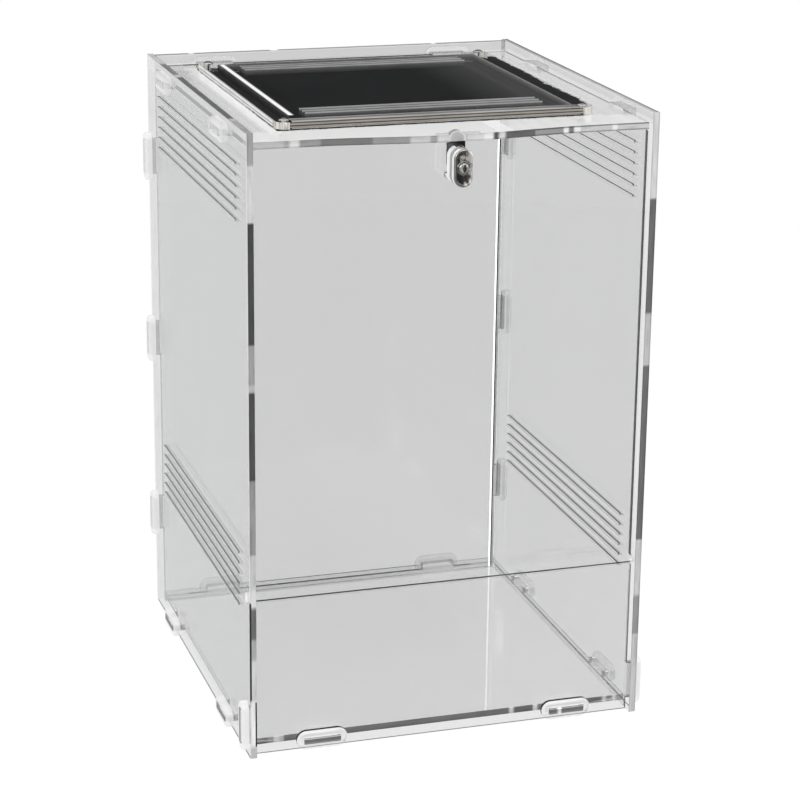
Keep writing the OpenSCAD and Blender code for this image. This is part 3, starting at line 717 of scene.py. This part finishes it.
def new_piece(name, verts, faces, mat, body, smooth=False, node=None):
    me = bpy.data.meshes.new(name)
    me.from_pydata(verts, [], faces)
    me.validate()
    bm = bmesh.new()
    bm.from_mesh(me)
    bmesh.ops.remove_doubles(bm, verts=bm.verts, dist=1e-7)
    bmesh.ops.recalc_face_normals(bm, faces=bm.faces)
    bm.to_mesh(me)
    bm.free()
    o = bpy.data.objects.new(name, me)
    bpy.context.scene.collection.objects.link(o)
    me.materials.append(mat)
    if smooth:
        for p in me.polygons:
            p.use_smooth = True
    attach(o, body)
    if node:
        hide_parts(node)
    return o


# ---------------------------------------------------------------- lock housing

def housing():
    """The lock's housing: a round-ended chrome body with a rolled rim, a sunk face and
    a raised ring round the plug, and the foot that meets the door."""
    w, h, zc = 0.0146, 0.027, 0.431
    y_back, y_front, y_door = -0.1588 + YS, -0.175 + YS, YF - 0.00003
    seg = 28

    def capsule(d):
        r, half = w / 2 - d, (h - w) / 2
        pts = []
        for k in range(seg + 1):
            a = math.pi * k / seg
            pts.append((r * math.cos(a), half + r * math.sin(a)))
        for k in range(1, 6):
            pts.append((-r, half - 2 * half * k / 6))
        for k in range(seg + 1):
            a = math.pi + math.pi * k / seg
            pts.append((r * math.cos(a), -half + r * math.sin(a)))
        for k in range(1, 6):
            pts.append((r, -half + 2 * half * k / 6))
        return pts

    ref = capsule(0.0)

    def circle(r):
        return [(r * math.cos(math.atan2(z, x)), r * math.sin(math.atan2(z, x))) for x, z in ref]

    rings = [(capsule(0.0), y_back)]
    rr = 0.0015
    for k in range(0, 9):
        a = math.pi / 2 * k / 8
        rings.append((capsule(rr * (1 - math.cos(a))), y_front + rr - rr * math.sin(a)))
    rings.append((capsule(0.00165), y_front + 0.00001))
    for k in range(1, 6):
        a = math.pi / 2 * k / 5
        rings.append((capsule(0.00165 + 0.0005 * math.sin(a)), y_front + 0.0008 * (1 - math.cos(a))))
    rings.append((circle(0.00500), y_front + 0.00095))
    for k in range(1, 9):
        a = math.pi * k / 8
        rings.append((circle(0.00500 - 0.00047 * (1 - math.cos(a))), y_front + 0.00095 - 0.0007 * math.sin(a)))
    rings.append((circle(0.00406), y_front + 0.006))
    n = len(ref)
    verts, faces = [], []
    for pts, y in rings:
        verts += [(x, y, zc + z) for x, z in pts]
    for i in range(len(rings) - 1):
        for k in range(n):
            m = (k + 1) % n
            faces.append((i * n + k, i * n + m, (i + 1) * n + m, (i + 1) * n + k))
    # rear: a flat annulus round the bore, and the bore's wall
    b0 = len(verts)
    verts += [(x, y_back, zc + z) for x, z in circle(0.00406)]
    for k in range(n):
        m = (k + 1) % n
        faces.append((k, b0 + k, b0 + m, m))
        faces.append((b0 + k, (len(rings) - 1) * n + k, (len(rings) - 1) * n + m, b0 + m))
    # foot
    zt = 0.4243 - zc
    low = [(x, z) for x, z in capsule(0.0002) if z < zt - 0.0002]
    low.sort(key=lambda p: math.atan2(p[1] - zt, p[0]))
    edge = math.sqrt((w / 2 - 0.0002) ** 2 - (zt + (h - w) / 2) ** 2)
    outline = [(-edge, zt)] + low + [(edge, zt)]
    f0, m = len(verts), len(outline)
    for y in (y_back - 0.0003, y_door):
        verts += [(x, y, zc + z) for x, z in outline]
    for k in range(m):
        q = (k + 1) % m
        faces.append((f0 + k, f0 + q, f0 + m + q, f0 + m + k))
    faces.append(tuple(range(f0, f0 + m)))
    faces.append(tuple(range(f0 + 2 * m - 1, f0 + m - 1, -1)))
    o = new_piece("lock_housing_shell", verts, faces, HOUSING, "door", node="lock_housing")
    for p in o.data.polygons:
        p.use_smooth = len(p.vertices) == 4
    o.data.set_sharp_from_angle(angle=math.radians(38))
    return o


housing()


def plug():
    """The lock's plug: a domed face with a keyway, and a square tail."""
    zc, y0, y1 = 0.431, -0.1589 + YS, -0.1762 + YS
    prof = [(0.0, y0), (0.0040, y0)]
    for k in range(15):
        a = math.pi / 2 * k / 14.5
        prof.append((0.0040 * math.cos(a), y1 + 0.0022 * (1 - math.sin(a))))
    seg = 72
    verts, faces = [], []
    for r, y in prof[1:]:
        verts += [(r * math.cos(2 * math.pi * k / seg), y, zc + r * math.sin(2 * math.pi * k / seg)) for k in range(seg)]
    rows = len(prof) - 1
    for i in range(rows - 1):
        for k in range(seg):
            m = (k + 1) % seg
            faces.append((i * seg + k, i * seg + m, (i + 1) * seg + m, (i + 1) * seg + k))
    faces.append(tuple(range(seg)))
    faces.append(tuple(range((rows - 1) * seg + seg - 1, (rows - 1) * seg - 1, -1)))
    o = new_piece("lock_plug_turned", verts, faces, HOUSING, "lock_rotor", node="lock_plug")
    bm = bmesh.new()
    bmesh.ops.create_cube(bm, size=1.0)
    cutter_me = bpy.data.meshes.new("cutter")
    bm.to_mesh(cutter_me)
    bm.free()
    cutter = bpy.data.objects.new("cutter", cutter_me)
    bpy.context.scene.collection.objects.link(cutter)
    cutter.scale = (0.0012, 0.0080, 0.0052)
    cutter.location = (0.0, y1 + 0.0030, zc)
    bpy.context.view_layer.update()
    mod = o.modifiers.new("keyway", "BOOLEAN")
    mod.operation = "DIFFERENCE"
    mod.solver = "EXACT"
    mod.object = cutter
    dg = bpy.context.evaluated_depsgraph_get()
    me = bpy.data.meshes.new_from_object(o.evaluated_get(dg))
    o.modifiers.clear()
    o.data = me
    bpy.data.objects.remove(cutter)
    # the tail that carries the cam
    bm = bmesh.new()
    bm.from_mesh(me)
    t0, t1, h = y0 - 0.0001, -0.1561 + YS, 0.0020
    v = [bm.verts.new((sx * h, y, zc + sz * h)) for y in (t0, t1) for sx, sz in ((-1, -1), (1, -1), (1, 1), (-1, 1))]
    for f in ((0, 1, 2, 3), (7, 6, 5, 4), (0, 4, 5, 1), (1, 5, 6, 2), (2, 6, 7, 3), (3, 7, 4, 0)):
        bm.faces.new([v[q] for q in f])
    bmesh.ops.recalc_face_normals(bm, faces=bm.faces)
    bm.to_mesh(me)
    bm.free()
    for p in me.polygons:
        p.use_smooth = True
    me.set_sharp_from_angle(angle=math.radians(32))
    return o


plug()


# ---------------------------------------------------------------- mesh

def mesh_mat():
    g = G("woven_mesh")
    obj = g.coord("Object")
    wx = g.wave(obj, 420.0, "X")
    wy = g.wave(obj, 420.0, "Y")
    weave = g.math("MAXIMUM", wx, wy)
    big = g.noise(obj, scale=9.0, detail=3.0)
    c = g.ramp(big, [(0.3, (0.0030, 0.0033, 0.0038)), (0.7, (0.0075, 0.0078, 0.0085))])
    c2 = g.mixc(g.maprange(weave, 0.2, 1.0, 0.0, 0.35), c, (0.012, 0.0125, 0.014))
    b = g.bump(weave, 0.4, 0.0003)
    return g.done(g.principled(Base_Color=c2, Roughness=0.9, Specular_IOR_Level=0.08, Normal=b))


MESH = mesh_mat()


def frayed_mesh():
    """The mesh under the vent frame: a thin cloth cut by hand, with a ragged edge
    that stands out past the frame on the right, and loose threads."""
    rnd = random.Random(11)
    x0, x1, y0, y1 = -0.1175, 0.1258, -0.1196 + YS, 0.1262 + YS
    xf, yf0, yf1 = 0.1182, -0.088, -0.066             # narrower beside the front right screw
    z0, z1 = 0.4520, 0.4524
    cx, cy = (x0 + x1) / 2, (y0 + y1) / 2
    pts = []

    def walk(a, b, inward, n, amp):
        v = 0.0
        for i in range(n):
            v = 0.80 * v + rnd.uniform(-1, 1) * 0.55
            spike = rnd.uniform(0.4, 1.6) if rnd.random() < 0.18 else 0.0
            k = (v - spike) * amp
            p = Vector(a).lerp(Vector(b), i / n)
            pts.append((p.x - inward[0] * k * -1, p.y - inward[1] * k * -1))

    walk((x0, y0), (xf - 0.010, y0), (0, 1), 220, 0.0007)
    walk((xf - 0.010, y0), (xf, y0 + 0.012), (-0.7, 0.7), 16, 0.0003)
    walk((xf, y0 + 0.012), (xf, yf0), (-1, 0), 14, 0.0003)
    walk((xf, yf0), (x1, yf1), (-1, 0), 24, 0.0008)
    walk((x1, yf1), (x1, y1), (-1, 0), 170, 0.0014)
    walk((x1, y1), (x0, y1), (0, -1), 230, 0.0006)
    walk((x0, y1), (x0, y0), (1, 0), 230, 0.00045)
    n = len(pts)
    verts, faces = [], []
    inset = 0.004
    for (px, py) in pts:
        qx = max(x0 + inset, min(xf - inset, px))
        qy = max(y0 + inset, min(y1 - inset, py))
        for (a, b) in ((px, py), (qx, qy)):
            verts.append((a, b, z0))
            verts.append((a, b, z1))
    for i in range(n):
        j = (i + 1) % n
        a, b = 4 * i, 4 * j
        faces.append((a, b, b + 1, a + 1))              # rim
        faces.append((a + 1, b + 1, b + 3, a + 3))      # top border
        faces.append((a, a + 2, b + 2, b))              # bottom border
    # the middle, one strip across per pair of points front and rear
    m = len(verts)
    nx = 24
    for k in range(nx + 1):
        x = x0 + inset + (xf - x0 - 2 * inset) * k / nx
        for y in (y0 + inset, y1 - inset):
            verts.append((x, y, z0))
            verts.append((x, y, z1))
    for k in range(nx):
        a, b = m + 4 * k, m + 4 * (k + 1)
        faces.append((a + 1, b + 1, b + 3, a + 3))
        faces.append((a, a + 2, b + 2, b))
    # loose threads
    for i in range(54):
        side = rnd.random()
        if side < 0.55:
            px, py, ang = x1 - 0.001, rnd.uniform(yf1 + 0.004, y1 - 0.01), rnd.uniform(-0.9, 0.9)
        elif side < 0.8:
            px, py, ang = rnd.uniform(x0 + 0.01, x1 - 0.01), y0 + 0.0005, -math.pi / 2 + rnd.uniform(-1.1, 1.1)
        else:
            px, py, ang = x0 + 0.0005, rnd.uniform(y0, y1), math.pi + rnd.uniform(-1.1, 1.1)
        ln = rnd.uniform(0.0012, 0.0032) * (1.0 if side < 0.55 else 0.6)
        bend = rnd.uniform(-0.9, 0.9)
        w = 0.00012
        k0 = len(verts)
        seg = 4
        for s_ in range(seg + 1):
            t = s_ / seg
            a = ang + bend * t
            qx, qy = px + math.cos(a) * ln * t, py + math.sin(a) * ln * t
            nx_, ny_ = -math.sin(a) * w, math.cos(a) * w
            for (ox, oy, oz) in ((nx_, ny_, 0.00008), (-nx_, -ny_, 0.00008), (-nx_, -ny_, 0.00032), (nx_, ny_, 0.00032)):
                verts.append((qx + ox, qy + oy, z0 + oz))
        for s_ in range(seg):
            a, b = k0 + 4 * s_, k0 + 4 * (s_ + 1)
            for e in range(4):
                f = (e + 1) % 4
                faces.append((a + e, a + f, b + f, b + e))
        faces.append((k0, k0 + 1, k0 + 2, k0 + 3))
        e0 = k0 + 4 * seg
        faces.append((e0 + 3, e0 + 2, e0 + 1, e0))
    o = new_piece("vent_mesh_cloth", verts, faces, MESH, "frame", node="vent_mesh")
    o.visible_shadow = False
    o.visible_diffuse = False


frayed_mesh()


# ---------------------------------------------------------------- stage and light

def stage():
    bm = bmesh.new()
    n, r = 96, 1.6
    vs = [bm.verts.new((r * math.cos(2 * math.pi * i / n), r * math.sin(2 * math.pi * i / n), -0.0005)) for i in range(n)]
    bm.faces.new(vs)
    me = bpy.data.meshes.new("floor")
    bm.to_mesh(me)
    bm.free()
    o = bpy.data.objects.new("stage_floor", me)
    bpy.context.scene.collection.objects.link(o)
    g = G("pale_floor")
    obj = g.coord("Object")
    n1 = g.noise(obj, scale=2.0, detail=2.0)
    c = g.ramp(n1, [(0.3, 0.955), (0.7, 0.965)])
    me.materials.append(g.done(g.diffuse(c)))
    o.visible_glossy = False
    o.visible_diffuse = False


stage()


def world():
    """Soft studio: an even light tent, with a few softboxes and dark cards that
    only mirrors and sheets show."""
    w = bpy.data.worlds.new("studio")
    bpy.context.scene.world = w
    w.use_nodes = True
    nt = w.node_tree
    nt.nodes.clear()
    new, link = nt.nodes.new, nt.links.new
    out = new("ShaderNodeOutputWorld")
    lp = new("ShaderNodeLightPath")
    tc = new("ShaderNodeTexCoord")

    def mth(op, a, b=None, c=None):
        n = new("ShaderNodeMath")
        n.operation = op
        for i, v in enumerate((a, b, c)):
            if v is None:
                continue
            if hasattr(v, "links"):
                link(v, n.inputs[i])
            else:
                n.inputs[i].default_value = v
        return n.outputs[0]

    def patch(axis, a, b):
        d = Vector(axis).normalized()
        n = new("ShaderNodeVectorMath")
        n.operation = "DOT_PRODUCT"
        link(tc.outputs["Generated"], n.inputs[0])
        n.inputs[1].default_value = d
        m = new("ShaderNodeMapRange")
        m.interpolation_type = "SMOOTHSTEP"
        link(n.outputs["Value"], m.inputs[0])
        m.inputs[1].default_value = a
        m.inputs[2].default_value = b
        return m.outputs[0]

    v = None
    for axis, a, b, level in (
            ((0, 0, 1), 0.55, 0.9, 1.2),
            ((-0.287, 0.909, -0.302), 0.86, 0.95, 0.85),
            ((0.287, 0.909, 0.302), 0.84, 0.95, 0.10),
            ((0.287, -0.909, -0.302), 0.80, 0.93, 0.03),
            ((-0.75, -0.45, 0.48), 0.90, 0.95, 2.6),
            ((0.85, -0.38, 0.36), 0.93, 0.97, 2.0),
            ((0.1, -0.6, 0.8), 0.93, 0.97, 1.8)):
        p = patch(axis, a, b)
        prev = 0.60 if v is None else v
        one = mth("SUBTRACT", 1.0, p)
        v = mth("ADD", mth("MULTIPLY", one, prev), mth("MULTIPLY", p, level))
    bg = new("ShaderNodeBackground")
    bg.inputs[0].default_value = (0.985, 1.0, 1.0, 1)
    link(v, bg.inputs[1])
    cam = new("ShaderNodeBackground")
    cam.inputs[0].default_value = (1, 1, 1, 1)
    cam.inputs[1].default_value = 1.01
    dif = new("ShaderNodeBackground")
    dif.inputs[0].default_value = (1, 1, 1, 1)
    dif.inputs[1].default_value = 1.0
    m1 = new("ShaderNodeMixShader")
    link(lp.outputs["Is Glossy Ray"], m1.inputs[0])
    link(dif.outputs[0], m1.inputs[1])
    link(bg.outputs[0], m1.inputs[2])
    m2 = new("ShaderNodeMixShader")
    link(lp.outputs["Is Camera Ray"], m2.inputs[0])
    link(m1.outputs[0], m2.inputs[1])
    link(cam.outputs[0], m2.inputs[2])
    link(m2.outputs[0], out.inputs[0])


world()


def area(name, loc, target, size, power):
    ld = bpy.data.lights.new(name, "AREA")
    ld.energy = power
    ld.size = size
    o = bpy.data.objects.new(name, ld)
    bpy.context.scene.collection.objects.link(o)
    o.location = loc
    d = Vector(target) - Vector(loc)
    o.rotation_mode = "QUATERNION"
    o.rotation_quaternion = d.to_track_quat("-Z", "Y")
    o.visible_glossy = False
    return o


area("key_left", (-2.2, -1.8, 3.0), (0, 0, 0.2), 1.6, 4.5)
area("fill_right", (2.6, -1.4, 2.6), (0, 0, 0.25), 1.6, 2)
area("top", (0.0, 0.3, 3.6), (0, 0, 0.3), 2.0, 4.5)


# ---------------------------------------------------------------- camera

def camera():
    cd = bpy.data.cameras.new("camera")
    cd.sensor_width = 36.0
    cd.lens = 113.34
    cd.clip_start, cd.clip_end = 0.05, 50.0
    o = bpy.data.objects.new("camera", cd)
    bpy.context.scene.collection.objects.link(o)
    yaw, pitch, roll = (math.radians(v) for v in (17.536, 17.604, 0.658))
    fwd = Vector((math.sin(yaw) * math.cos(pitch), math.cos(yaw) * math.cos(pitch), -math.sin(pitch)))
    right = Vector((math.cos(yaw), -math.sin(yaw), 0.0))
    up = right.cross(fwd)
    r2 = math.cos(roll) * right + math.sin(roll) * up
    u2 = -math.sin(roll) * right + math.cos(roll) * up
    m = Matrix((r2, u2, -fwd)).transposed().to_4x4()
    m.translation = Vector((-0.5499, -1.7674, 0.8010))
    o.matrix_world = m
    bpy.context.scene.camera = o


camera()

sc = bpy.context.scene
sc.view_settings.view_transform = "Standard"
sc.view_settings.look = "None"
sc.cycles.transparent_max_bounces = 48
sc.cycles.max_bounces = 12
sc.cycles.caustics_reflective = False
sc.cycles.caustics_refractive = False

bpy.context.view_layer.update()
